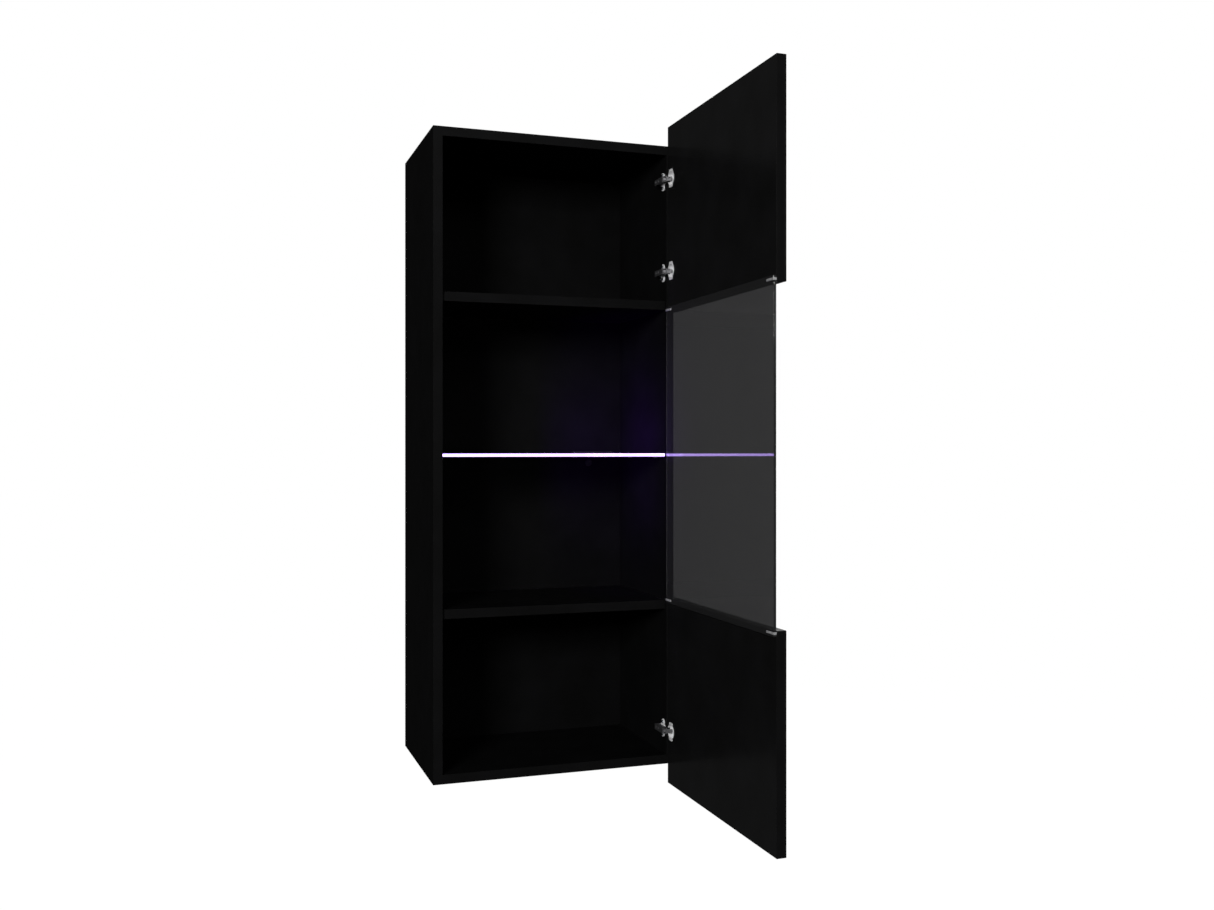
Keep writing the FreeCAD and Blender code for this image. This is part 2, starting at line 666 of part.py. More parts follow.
def cup_pin(arm_pin, radius):
    """A pin in the open cup: 45 degrees past the arm pin's bearing from the door's axis."""
    bearing = math.atan2(arm_pin.y - pivot.y, arm_pin.x - pivot.x) + math.radians(45)
    return pivot + Vector(radius * math.cos(bearing), radius * math.sin(bearing), 0)


def link_turn(arm_pin, radius):
    """How far a link turns, in degrees, while the door turns by 90 degrees."""
    opened = cup_pin(arm_pin, radius) - arm_pin
    quarter_back = Rotation(Z_AXIS, -90)
    closed = pivot + quarter_back.multVec(cup_pin(arm_pin, radius) - pivot) - arm_pin
    return math.degrees(math.atan2(opened.y, opened.x) - math.atan2(closed.y, closed.x))


outer_pin = pin_point("outer_pin_across", "outer_pin_ahead")
inner_pin = pin_point("inner_pin_across", "inner_pin_ahead")
outer_far = cup_pin(outer_pin, size("outer_cup_pin"))
inner_far = cup_pin(inner_pin, size("inner_cup_pin"))


def link_bar(start, end, low, tall):
    """A flat bar with round ends from one pin to the other, bored for both pins."""
    width = size("link_half")
    span = end - start
    bar = Part.makeBox(span.Length, 2 * width, tall, Vector(0, -width, low))
    eyes = [Part.makeCylinder(width, tall, Vector(x, 0, low)) for x in (0, span.Length)]
    bar = bar.fuse(eyes).removeSplitter()
    running = Part.makeCylinder(size("pin_radius") + size("pin_play"), tall, Vector(0, 0, low))
    pressed = Part.makeCylinder(size("pin_radius") + size("press_play"), tall,
                                Vector(span.Length, 0, low))
    return bar.cut([running, pressed])


def link_placement(start, end, height):
    span = end - start
    angle = math.degrees(math.atan2(span.y, span.x))
    return Placement(Vector(start.x, start.y, height), Rotation(Z_AXIS, angle))


def hinge_links(where, height):
    """The bridged outer link and the plain inner link of one hinge."""
    width = size("link_half")
    length = (outer_far - outer_pin).Length
    near, far = size("cheek_from"), size("cheek_to")
    cheeks = [link_bar(outer_pin, outer_far, low, far - near) for low in (near, -far)]
    bridge = Part.makeBox(length * 0.3, 0.8, 2 * far, Vector(length * 0.15, -width, -far))
    outer = cheeks[0].fuse([cheeks[1], bridge]).removeSplitter()
    group(f"hinge_outer_link_{where}", outer, [link_placement(outer_pin, outer_far, height)])
    reach = size("inner_link_half")
    bar = link_bar(inner_pin, inner_far, -reach, 2 * reach)
    group(f"hinge_inner_link_{where}", bar, [link_placement(inner_pin, inner_far, height)])


def hinge_cup(where, height):
    """A pressed cup with a flange on the door's inner face, open towards the arm."""
    centre = (INNER, f"{DOOR_EDGE} - Sizes.cup_centre", height)
    bowl = rod(f"cup_{where}_bowl", centre, X_AXIS, "Sizes.cup_radius", "Sizes.cup_depth")
    rim = rod(f"cup_{where}_rim", (f"{INNER} - Sizes.flange_thick", centre[1], height), X_AXIS,
              "Sizes.cup_radius + Sizes.cup_rim", "Sizes.flange_thick")
    plate = box(f"cup_{where}_plate",
                (f"{INNER} - Sizes.flange_thick",
                 f"{DOOR_EDGE} - Sizes.cup_centre - Sizes.flange_wide / 2",
                 f"{height} - Sizes.flange_tall / 2"),
                ("Sizes.flange_thick", "Sizes.flange_wide", "Sizes.flange_tall"))
    rounded = doc.addObject("Part::Fillet", f"cup_{where}_flange")
    rounded.Base = plate
    doc.recompute()
    corners = [n + 1 for n, edge in enumerate(plate.Shape.Edges)
               if abs(edge.Length - size("flange_thick")) < 0.01]
    rounded.Edges = [(n, 3.0, 3.0) for n in corners]
    solid = fused(f"cup_{where}_solid", [bowl, rim, rounded])
    hollow = rod(f"cup_{where}_hollow",
                 (f"{INNER} - Sizes.flange_thick - 1", centre[1], height), X_AXIS,
                 "Sizes.cup_radius - Sizes.cup_wall",
                 "Sizes.cup_depth + Sizes.flange_thick + 1 - Sizes.cup_wall")
    mouth = box(f"cup_{where}_mouth",
                (f"{INNER} - Sizes.flange_thick - 1", centre[1], f"{height} - Sizes.mouth_half"),
                ("Sizes.flange_thick + 1 + Sizes.mouth_deep", "Sizes.cup_radius + 1",
                 "2 * Sizes.mouth_half"))
    keep(cut(f"cup_{where}", solid, [hollow, mouth]), f"hinge_cup_{where}")


def hinge_plate(where, height):
    """The winged plate on the side panel, with the rib that carries the arm."""
    face = INNER
    base = box(f"plate_{where}_base",
               (f"{face} - Sizes.plate_top", f"{FRONT} + Sizes.arm_start",
                f"{height} - Sizes.arm_half"),
               ("Sizes.plate_top", "Sizes.arm_length", "2 * Sizes.arm_half"))
    wings = box(f"plate_{where}_wings",
                (f"{face} - Sizes.wing_thick", f"{FRONT} + Sizes.wing_ahead",
                 f"{height} - Sizes.wing_reach + Sizes.wing_width / 2"),
                ("Sizes.wing_thick", "Sizes.wing_width",
                 "2 * Sizes.wing_reach - Sizes.wing_width"))
    ends = [rod(f"plate_{where}_end",
                (f"{face} - Sizes.wing_thick", PLATE_SCREW_Y,
                 f"{height} + {sign} * (Sizes.wing_reach - Sizes.wing_width / 2)"),
                X_AXIS, "Sizes.wing_width / 2", "Sizes.wing_thick") for sign in (-1, 1)]
    rib = box(f"plate_{where}_rib",
              (f"{face} - Sizes.arm_top + Sizes.arm_wall + 0.5", f"{FRONT} + Sizes.rib_start",
               f"{height} - Sizes.rib_half"),
              ("Sizes.arm_top - Sizes.arm_wall - 0.5", "Sizes.rib_length",
               "2 * Sizes.rib_half"))
    solid = fused(f"plate_{where}_solid", [base, wings, rib] + ends)
    holes = []
    for sign in (-1, 1):
        holes.append(rod(f"plate_{where}_hole",
                         (f"{face} - Sizes.wing_thick - 1", PLATE_SCREW_Y,
                          f"{height} + {sign} * Sizes.plate_screw_rise"),
                         X_AXIS, "Sizes.screw_radius + 0.2", "Sizes.wing_thick + 2"))
    for spot in ARM_SCREWS:
        holes.append(rod(f"plate_{where}_thread",
                         (f"{face} - Sizes.arm_top", f"{FRONT} + Sizes.{spot}", height), X_AXIS,
                         "Sizes.arm_screw + Sizes.fit_gap", "Sizes.arm_top - Sizes.wing_thick"))
    keep(cut(f"plate_{where}", solid, holes), f"hinge_plate_{where}")


def arm_cheek_outline():
    """The cheek seen from above: a straight channel whose tip drops to the outer pin."""
    roof = inner - size("arm_top")
    foot = inner - size("plate_top") - 0.2
    rear = front + size("arm_start") + size("arm_length")
    tip = outer_pin
    radius = 2.0
    points = [Vector(roof, rear, 0), Vector(roof, inner_pin.y - 0.5, 0)]
    tangent = Vector(-math.cos(math.radians(35)), -math.sin(math.radians(35)), 0) * radius
    start = tip + tangent
    middle_point = tip + Vector(0.2, -1, 0).normalize() * radius
    end = tip + Vector(radius, 0, 0)
    edges = [Part.LineSegment(points[0], points[1]).toShape(),
             Part.LineSegment(points[1], start).toShape(),
             Part.Arc(start, middle_point, end).toShape(),
             Part.LineSegment(end, Vector(foot, front - 4, 0)).toShape(),
             Part.LineSegment(Vector(foot, front - 4, 0), Vector(foot, rear, 0)).toShape(),
             Part.LineSegment(Vector(foot, rear, 0), points[0]).toShape()]
    return Part.Face(Part.Wire(edges))


def hinge_arm(where, height):
    """A channel over the plate's rib, whose cheeks carry the two link pins."""
    outer_half = size("arm_half")
    wall = size("arm_wall")
    channel = arm_cheek_outline().extrude(Vector(0, 0, 2 * outer_half))
    channel.translate(Vector(0, 0, -outer_half))
    roof = inner - size("arm_top")
    hollow = Part.makeBox(20, 60, 2 * (outer_half - wall),
                          Vector(roof + wall, front - 20, wall - outer_half))
    mouth = Part.makeBox(6, 20, 2 * (outer_half - wall),
                         Vector(roof - 1, inner_pin.y - 22.5, wall - outer_half))
    arm = channel.cut([hollow, mouth])
    bores = []
    for pin in (outer_pin, inner_pin):
        bores.append(Part.makeCylinder(size("pin_radius") + size("press_play"), 20,
                                       Vector(pin.x, pin.y, -10)))
    for spot in ARM_SCREWS:
        bores.append(Part.makeCylinder(size("arm_screw") + 0.3, 4,
                                       Vector(roof - 1, front + size(spot), 0), X_AXIS))
    group(f"hinge_arm_{where}", arm.cut(bores), [Placement(Vector(0, 0, height), Rotation())])


def hinge_hardware():
    """Screws of the plates and arms, and the pins of all the links."""
    screw_y = front + size("wing_ahead") + size("wing_width") / 2
    wing_x = inner - size("wing_thick")
    rise = size("plate_screw_rise")
    places = [facing(Vector(-1, 0, 0), wing_x, screw_y, height + sign * rise)
              for height in HINGES.values() for sign in (-1, 1)]
    group("hinge_plate_screws", wood_screw(12, 3.2, 1.8), places)

    roof = inner - size("arm_top")
    shank, head, tall, length = size("arm_screw"), 2.9, 1.3, 7
    machine = turned([(0, -length), (shank, -length), (shank, 0), (head, 0), (head, tall - 0.4),
                      (head - 0.5, tall), (0, tall)])
    machine = cross_recess(machine, tall, 1.7, 0.8)
    places = [facing(Vector(-1, 0, 0), roof, front + size(spot), height)
              for height in HINGES.values() for spot in ARM_SCREWS]
    group("hinge_arm_screws", machine, places)

    def upright(pin, low, height):
        return Placement(Vector(pin.x, pin.y, height + low), Rotation())

    reach = size("arm_half") + 0.4
    pin_r = size("pin_radius")
    arm_rivet = turned([(0, 0), (pin_r - 0.2, 0), (pin_r, 0.2), (pin_r, 2 * reach - 0.2),
                        (pin_r - 0.2, 2 * reach), (0, 2 * reach)])
    places = [upright(pin, -reach, height) for height in HINGES.values()
              for pin in (outer_pin, inner_pin)]
    group("hinge_arm_pins", arm_rivet, places)
    reach = size("inner_link_half")
    group("hinge_inner_link_pins", Part.makeCylinder(pin_r, 2 * reach),
          [upright(inner_far, -reach, height) for height in HINGES.values()])
    near, far = size("cheek_from"), size("cheek_to")
    group("hinge_outer_link_pins", Part.makeCylinder(pin_r, far - near),
          [upright(outer_far, low, height) for height in HINGES.values()
           for low in (near, -far)])


# ---------------------------------------------------------------- wall fixing

def wall_rail():
    """A steel rail on the wall; its stepped-out lip carries the hangers' hooks."""
    steel = size("rail_steel")
    step = size("rail_step")
    low = -size("rail_down")
    high = size("rail_up")
    bend = 10
    body = new_body("wall_rail", "0 - Sizes.rail_length / 2", 0, 0)
    sketch = new_sketch(body, "YZ_Plane")
    outline(sketch, [(0, low), (0, bend), (-step, bend), (-step, high),
                     (-step - steel, high), (-step - steel, bend - steel),
                     (-steel, bend - steel), (-steel, low)])
    pad(body, sketch, "Sizes.rail_length")
    holes = new_sketch(body, "XZ_Plane")
    for sign in (-1, 1):
        circle(holes, f"Sizes.rail_length / 2 + {sign} * Sizes.rail_spacing / 2", 0,
               "Sizes.rail_hole")
    pocket(body, holes, "Sizes.rail_steel + 1", True)


def hanger(label, side):
    """A steel angle on the side panel behind the back board, with a hook over the rail."""
    steel = size("rail_steel")
    step = size("rail_step")
    high = size("rail_up")
    tall = size("hanger_tall")
    low = high + steel - tall
    rear = -step - steel - 3
    profile = [(rear - steel, low), (rear, low), (rear, high), (-steel - 1, high),
               (-steel - 1, high - 10), (-1, high - 10), (-1, high + steel),
               (rear - steel, high + steel)]
    face = Part.Face(Part.makePolygon([Vector(0, y, z) for y, z in profile + profile[:1]]))
    width = size("hanger_wide")
    hook = face.extrude(Vector(width, 0, 0))
    hook.translate(Vector(inner - width, 0, 0))
    cheek = Part.makeBox(steel, 20, tall - 2, Vector(inner - steel, rear - 20, low + 1))
    shape = hook.fuse(cheek).removeSplitter()
    for z in HANGER_SCREW_HEIGHTS:
        shape = shape.cut(Part.makeCylinder(2.2, 6, Vector(inner - 4, -size("hanger_screw_back"), z),
                                            X_AXIS))
    if side < 0:
        shape = shape.mirror(Vector(), X_AXIS)
    feature = doc.addObject("Part::Feature", label)
    feature.Shape = shape
    keep(feature, label)


def hanger_screws():
    x = inner - size("rail_steel")
    places = [facing(Vector(-side, 0, 0), side * x, -size("hanger_screw_back"), z)
              for side in (-1, 1) for z in HANGER_SCREW_HEIGHTS]
    group("hanger_screws", wood_screw(12, size("screw_head"), 2.0), places)


# ---------------------------------------------------------------- assembly

side_panel("left_side_panel", f"0 - {HALF}", f"0 - {INNER}", 1)
side_panel("right_side_panel", INNER, INNER, -1)
SHELF_DEPTH = "Sizes.body_depth - Sizes.shelf_recess - Sizes.back_inset - Sizes.fit_gap"
cross_board("top_panel", "Sizes.body_depth", FRONT, True, True)
cross_board("bottom_panel", "Sizes.body_depth", FRONT, False, True)
cross_board("upper_shelf", SHELF_DEPTH, f"{FRONT} + Sizes.shelf_recess", True, False)
cross_board("lower_shelf", SHELF_DEPTH, f"{FRONT} + Sizes.shelf_recess", False, False)
back_panel()
cable_grommet()
fittings()
glass_shelf()
shelf_supports()
shelf_light()
PANEL_TALL = "(Sizes.door_height - Sizes.door_opening) / 2"
door_panel("door_upper_panel", 1, f"{MIDDLE} + Sizes.door_opening / 2", PANEL_TALL,
           (HINGES["top"], HINGES["middle"]))
door_panel("door_lower_panel", -1, f"{MIDDLE} - Sizes.door_height / 2", PANEL_TALL,
           (HINGES["bottom"],))
door_glass()
door_clips()
for hinge_name, hinge_height in HINGES.items():
    hinge_cup(hinge_name, hinge_height)
    hinge_plate(hinge_name, hinge_height)
    hinge_arm(hinge_name, hinge_height)
    hinge_links(hinge_name, hinge_height)
hinge_hardware()
wall_rail()
hanger("left_hanger", -1)
hanger("right_hanger", 1)
hanger_screws()
doc.recompute()

for item in doc.Objects:
    if "Invalid" in item.State or "Error" in item.State:
        raise RuntimeError(f"{item.Name}: {item.State}")
os.makedirs("parts", exist_ok=True)
for part in parts:
    if part.Shape.isNull() or not part.Shape.isValid():
        raise RuntimeError(f"{part.Label} has no valid shape")
    part.Shape.exportStep(f"parts/{part.Label}.step")
print(f"{len(parts)} parts; door axis at x {pivot.x:.3f}, y {pivot.y:.3f}")
for link, arm_pin, cup_radius in (("outer", outer_pin, size("outer_cup_pin")),
                                  ("inner", inner_pin, size("inner_cup_pin"))):
    turn = link_turn(arm_pin, cup_radius)
    print(f"{link} link pin at x {arm_pin.x:.3f}, y {arm_pin.y:.3f}; ratio {turn / 90:.5f}")
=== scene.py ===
import math

import bpy
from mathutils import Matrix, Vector


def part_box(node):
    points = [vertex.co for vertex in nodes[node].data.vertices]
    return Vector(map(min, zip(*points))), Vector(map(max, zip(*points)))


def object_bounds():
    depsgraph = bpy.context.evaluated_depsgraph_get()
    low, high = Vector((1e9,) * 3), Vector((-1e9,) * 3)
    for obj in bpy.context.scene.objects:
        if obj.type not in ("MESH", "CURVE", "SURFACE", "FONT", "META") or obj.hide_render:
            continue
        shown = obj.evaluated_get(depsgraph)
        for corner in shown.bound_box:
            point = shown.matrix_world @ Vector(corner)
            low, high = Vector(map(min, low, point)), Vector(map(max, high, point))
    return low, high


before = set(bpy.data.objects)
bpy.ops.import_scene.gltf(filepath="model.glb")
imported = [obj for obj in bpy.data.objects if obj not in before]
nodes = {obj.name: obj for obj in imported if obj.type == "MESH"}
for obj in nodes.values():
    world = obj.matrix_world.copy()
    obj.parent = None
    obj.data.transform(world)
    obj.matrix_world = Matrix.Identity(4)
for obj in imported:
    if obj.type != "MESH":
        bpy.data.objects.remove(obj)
cad_low, cad_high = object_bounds()

MM = 0.001
HINGE_PLACES = ("top", "middle", "bottom")
BOARDS = ("left_side_panel", "right_side_panel", "top_panel", "bottom_panel", "upper_shelf", "lower_shelf")


# ---------------------------------------------------------------- shader building

def node(tree, kind, inputs=None, **settings):
    """A shader node with its settings, and its inputs linked or set."""
    made = tree.nodes.new(kind)
    for key, value in settings.items():
        setattr(made, key, value)
    for key, value in (inputs or {}).items():
        if isinstance(value, bpy.types.NodeSocket):
            tree.links.new(value, made.inputs[key])
        else:
            made.inputs[key].default_value = value
    return made


def material(name, **uniform):
    """A material with one Principled shader, whose uniform values sit on its own sockets."""
    made = bpy.data.materials.new(name)
    made.use_nodes = True
    tree = made.node_tree
    tree.nodes.clear()
    sockets = {key.replace("_", " "): value for key, value in uniform.items()}
    shader = node(tree, "ShaderNodeBsdfPrincipled", sockets)
    node(tree, "ShaderNodeOutputMaterial", {"Surface": shader.outputs["BSDF"]})
    return made, tree, shader


def place(tree):
    """Coordinates in metres, fixed to the piece."""
    return node(tree, "ShaderNodeTexCoord").outputs["Object"]


def stretched(tree, vector, x, y, z):
    return node(tree, "ShaderNodeMapping", {"Vector": vector, "Scale": (x, y, z)}).outputs["Vector"]


def noise(tree, vector, size, detail=2.0, roughness=0.5):
    """Noise whose features are about size metres across."""
    inputs = {"Vector": vector, "Scale": 1 / size, "Detail": detail, "Roughness": roughness}
    return node(tree, "ShaderNodeTexNoise", inputs).outputs["Fac"]


def cells(tree, vector, size):
    """Random cells about size metres across: a shade for each cell, and the distance to its middle."""
    made = node(tree, "ShaderNodeTexVoronoi", {"Vector": vector, "Scale": 1 / size}, feature="F1")
    shade = node(tree, "ShaderNodeSeparateColor", {"Color": made.outputs["Color"]}).outputs["Red"]
    return shade, made.outputs["Distance"]


def spread(tree, value, low, high, start=0.3, stop=0.7):
    """A 0 to 1 pattern mapped to a range of values."""
    inputs = {"Value": value, "From Min": start, "From Max": stop, "To Min": low, "To Max": high}
    return node(tree, "ShaderNodeMapRange", inputs).outputs["Result"]


def maths(tree, operation, *values):
    """Arithmetic on one or two numbers or sockets."""
    return node(tree, "ShaderNodeMath", dict(enumerate(values)), operation=operation).outputs["Value"]


def colours(tree, value, *stops):
    """A colour ramp: stops are (position, (r, g, b))."""
    ramp = node(tree, "ShaderNodeValToRGB", {"Fac": value})
    elements = ramp.color_ramp.elements
    while len(elements) < len(stops):
        elements.new(0.5)
    for element, (position, colour) in zip(elements, stops):
        element.position = position
        element.color = (*colour, 1)
    return ramp.outputs["Color"]


def link(tree, value, shader, name):
    tree.links.new(value, shader.inputs[name])


def bump(tree, shader, height, strength, distance):
    made = node(tree, "ShaderNodeBump", {"Height": height, "Strength": strength, "Distance": distance})
    link(tree, made.outputs["Normal"], shader, "Normal")


def grey(level, blue=1.0):
    return (level, level, level * blue)


def tint(tree, shader, pattern, *stops):
    """Colours the shader by a pattern, through a ramp."""
    link(tree, colours(tree, pattern, *stops), shader, "Base Color")


# ---------------------------------------------------------------- board materials

def laminate(name, tone, shine, gloss, grain=0.35 * MM, depth=0.02 * MM):
    """Black melamine: a fine pearl grain, faint cloudiness and an uneven sheen. Low gloss is matt."""
    made, tree, shader = material(name, IOR=1.45, Specular_IOR_Level=gloss)
    at = place(tree)
    cloud = noise(tree, at, 60 * MM, 3.0)
    tint(tree, shader, cloud, (0.3, grey(tone * 0.85)), (0.7, grey(tone * 1.15, 1.04)))
    pearl = noise(tree, at, grain, 2.0, 0.6)
    handled = noise(tree, at, 25 * MM, 4.0, 0.6)
    sheen = maths(tree, "ADD", spread(tree, handled, shine - 0.02, shine + 0.02),
                  spread(tree, pearl, -0.04, 0.04))
    link(tree, sheen, shader, "Roughness")
    bump(tree, shader, pearl, 0.25, depth)
    return made


def lacquer(name, tone, shine):
    """High-gloss black: deep and mirror-like, with a faint orange peel."""
    made, tree, shader = material(name, IOR=1.5, Coat_Weight=1.0, Coat_Roughness=0.03, Coat_IOR=1.5)
    at = place(tree)
    depth = noise(tree, at, 80 * MM, 2.0)
    tint(tree, shader, depth, (0.3, grey(tone * 0.9)), (0.7, grey(tone * 1.1, 1.05)))
    wiped = noise(tree, stretched(tree, at, 1, 1, 0.25), 18 * MM, 4.0, 0.65)
    link(tree, spread(tree, wiped, shine, shine + 0.05), shader, "Roughness")
    bump(tree, shader, noise(tree, at, 3.5 * MM, 1.0), 0.04, 0.02 * MM)
    return made


def chipboard():
    """The bare rear edge of a board: pressed wood chips."""
    made, tree, shader = material("bare_chipboard", IOR=1.4)
    at = place(tree)
    shade, distance = cells(tree, stretched(tree, at, 1, 1, 0.35), 1.6 * MM)
    toned = maths(tree, "MULTIPLY", shade, noise(tree, at, 0.4 * MM, 3.0))
    tint(tree, shader, toned, (0.05, (0.10, 0.055, 0.025)), (0.3, (0.26, 0.16, 0.08)),
         (0.6, (0.42, 0.29, 0.16)))
    link(tree, spread(tree, toned, 0.75, 0.95), shader, "Roughness")
    bump(tree, shader, distance, 0.5, 0.2 * MM)
    return made


def fibre_board():
    """The bare rear face of the thin back: fine brown fibre, a little mottled."""
    made, tree, shader = material("bare_fibre_board", IOR=1.4)
    at = place(tree)
    mottle = noise(tree, at, 14 * MM, 5.0, 0.6)
    fibre = noise(tree, stretched(tree, at, 1, 1, 0.3), 0.8 * MM, 4.0, 0.7)
    mixed = maths(tree, "MULTIPLY", mottle, fibre)
    tint(tree, shader, mixed, (0.12, (0.075, 0.042, 0.022)), (0.4, (0.16, 0.10, 0.055)))
    link(tree, spread(tree, fibre, 0.6, 0.8), shader, "Roughness")
    bump(tree, shader, fibre, 0.35, 0.08 * MM)
    return made


# ---------------------------------------------------------------- metals

def metal(name, colour, shine, size, relief=0.1, metallic=1.0):
    """A metal with a grain of size metres in its colour, sheen and relief."""
    made, tree, shader = material(name, Metallic=metallic)
    grain = noise(tree, place(tree), size, 4.0, 0.6)
    dull = tuple(c * 0.86 for c in colour)
    tint(tree, shader, grain, (0.3, dull), (0.7, colour))
    link(tree, spread(tree, grain, shine, shine + 0.04), shader, "Roughness")
    bump(tree, shader, grain, relief, 0.02 * MM)
    return made


def galvanised():
    """Zinc plate: large dull crystals over a fine grain."""
    made, tree, shader = material("galvanised_steel", Metallic=1.0)
    at = place(tree)
    shade, _ = cells(tree, at, 7 * MM)
    tint(tree, shader, shade, (0.0, (0.42, 0.44, 0.47)), (1.0, (0.62, 0.64, 0.67)))
    link(tree, spread(tree, shade, 0.3, 0.46, 0.0, 1.0), shader, "Roughness")
    bump(tree, shader, noise(tree, at, 1.2 * MM, 3.0), 0.15, 0.04 * MM)
    return made


# ---------------------------------------------------------------- small parts

def plastic(name, tone, shine):
    """Black moulded plastic with a spark-eroded grain."""
    made, tree, shader = material(name, IOR=1.46)
    at = place(tree)
    grain = noise(tree, at, 0.25 * MM, 2.0)
    tint(tree, shader, grain, (0.3, grey(tone * 0.8)), (0.7, grey(tone * 1.2)))
    link(tree, spread(tree, grain, shine - 0.06, shine + 0.06), shader, "Roughness")
    bump(tree, shader, grain, 0.3, 0.03 * MM)
    return made


def beech():
    """Dowels: straight beech grain along their length, with short dark flecks."""
    made, tree, shader = material("beech_dowel", IOR=1.45)
    at = place(tree)
    grain = noise(tree, stretched(tree, at, 0.12, 1, 1), 0.7 * MM, 4.0, 0.6)
    flecks = noise(tree, stretched(tree, at, 0.3, 1, 1), 0.25 * MM, 1.0)
    mixed = maths(tree, "MULTIPLY", grain, spread(tree, flecks, 0.7, 1.0, 0.55, 0.7))
    tint(tree, shader, mixed, (0.15, (0.33, 0.19, 0.09)), (0.6, (0.66, 0.47, 0.29)))
    link(tree, spread(tree, grain, 0.5, 0.7), shader, "Roughness")
    bump(tree, shader, grain, 0.3, 0.05 * MM)
    return made


def circuit_board(strength, diodes=6):
    """White board whose diodes, in a row along X, glow violet."""
    made, tree, shader = material("led_board", Emission_Color=(0.30, 0.14, 1.0, 1))
    low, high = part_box("led_board")
    at = place(tree)
    along = node(tree, "ShaderNodeSeparateXYZ", {"Vector": at}).outputs["X"]
    pitch = (high.x - low.x) / diodes
    from_first = maths(tree, "SUBTRACT", along, low.x + pitch / 2)
    off_diode = maths(tree, "PINGPONG", from_first, pitch / 2)
    lit = spread(tree, off_diode, strength, strength * 0.15, pitch * 0.1, pitch * 0.25)
    tint(tree, shader, noise(tree, at, 0.6 * MM), (0.3, grey(0.7)), (0.7, grey(0.8)))
    link(tree, lit, shader, "Emission Strength")
    return made


# ---------------------------------------------------------------- glass

def smoked_glass(colour):
    """Grey tinted pane that scatters a little light, with faint wipe marks in its polish."""
    made, tree, shader = material("smoked_glass", IOR=1.5, Transmission_Weight=0.705)
    at = place(tree)
    smear = noise(tree, stretched(tree, at, 1, 1, 0.4), 45 * MM, 4.0, 0.6)
    tint(tree, shader, smear, (0.3, colour), (0.7, tuple(c * 1.03 for c in colour)))
    link(tree, spread(tree, smear, 0.0, 0.012), shader, "Roughness")
    return made


def lit_glass(glow_colour, strength, end_share):
    """Clear shelf lit from its rear edge: light leaves along its front edge, and a little at its ends."""
    made, tree, shader = material("lit_glass", IOR=1.5, Transmission_Weight=1.0,
                                  Emission_Color=(*glow_colour, 1))
    low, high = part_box("glass_shelf")
    at = place(tree)
    split = node(tree, "ShaderNodeSeparateXYZ", {"Vector": at})
    rim = 0.6 * MM
    front = spread(tree, split.outputs["Y"], 1.0, 0.0, low.y + rim * 0.6, low.y + rim)
    side = maths(tree, "ABSOLUTE", split.outputs["X"])
    ends = spread(tree, side, 0.0, end_share, high.x - rim, high.x - rim * 0.6)
    above_middle = maths(tree, "SUBTRACT", split.outputs["Z"], (low.z + high.z) / 2)
    off_middle = maths(tree, "ABSOLUTE", above_middle)
    core = spread(tree, off_middle, strength, strength * 0.12, 1.7 * MM, 2.5 * MM)
    glow = maths(tree, "MULTIPLY", maths(tree, "MAXIMUM", front, ends), core)
    link(tree, glow, shader, "Emission Strength")
    smear = noise(tree, at, 50 * MM, 3.0)
    tint(tree, shader, smear, (0.3, (0.93, 0.96, 0.955)), (0.7, (0.95, 0.975, 0.97)))
    link(tree, spread(tree, smear, 0.0, 0.01), shader, "Roughness")
    return made


# ---------------------------------------------------------------- the finishes

board = laminate("black_laminate", 0.0040, 0.34, 0.01)
# painted shade: the outer side faces get a darker copy of the board laminate, because less light falls on
# them
shaded_outer_face = laminate("black_outer_face_painted_shade", 0.0029, 0.34, 0.01)
edge_band = laminate("black_edge_band", 0.0054, 0.32, 0.02, 0.5 * MM)
back_face = laminate("black_back_face", 0.0040, 0.38, 0.01, 0.8 * MM)
door_gloss = lacquer("black_gloss_front", 0.004, 0.06)
door_inside = laminate("black_door_inside", 0.0068, 0.2, 0.5, 0.5 * MM, 0.008 * MM)
raw_edge = chipboard()
raw_back = fibre_board()
# painted highlight: the cup and plate nickel is a near-white copy with little metal in it, so its colour
# stands in for a bright reflection
lit_hinge_nickel = metal("hinge_nickel_painted_highlight", (0.93, 0.93, 0.94), 0.34, 0.8 * MM, 0.08, 0.2)
# painted shade: the arms, links, pins and arm screws get a dark copy of the same nickel, standing in for
# the dark surroundings that it reflects
shaded_hinge_nickel = metal("hinge_nickel_painted_shade", (0.14, 0.14, 0.145), 0.58, 0.6 * MM, 0.06)
brushed = metal("brushed_nickel", (0.42, 0.42, 0.43), 0.45, 0.8 * MM, 0.08, 0.35)
screw_steel = metal("bright_zinc_screws", (0.66, 0.68, 0.72), 0.2, 0.5 * MM)
zinc = metal("cast_zinc", (0.55, 0.56, 0.58), 0.38, 0.4 * MM, 0.3)
dark_steel = metal("dark_nickel", (0.14, 0.14, 0.15), 0.25, 0.5 * MM)
plated = galvanised()
moulded = plastic("black_plastic", 0.006, 0.5)
dowel_wood = beech()
lamp_board = circuit_board(1.5)
pane_glass = smoked_glass((0.0575, 0.0575, 0.0585))
shelf_glass = lit_glass((0.53, 0.36, 1.0), 4.8, 0.05)


# ---------------------------------------------------------------- finishing the CAD nodes

SIDES = {"left": (0, -1), "right": (0, 1), "front": (1, -1), "back": (1, 1)}


def paint(name, main, **by_side):
    """Gives a node its material, and others to the faces on the named outer sides of its box."""
    thing = nodes[name]
    thing.data.materials.clear()
    for finish in (main, *by_side.values()):
        thing.data.materials.append(finish)
    low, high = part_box(name)
    for index, side in enumerate(by_side, 1):
        axis, sign = SIDES[side]
        outer = high[axis] if sign > 0 else low[axis]
        for face in thing.data.polygons:
            if face.normal[axis] * sign > 0.9 and abs(face.center[axis] - outer) < 0.1 * MM:
                face.material_index = index


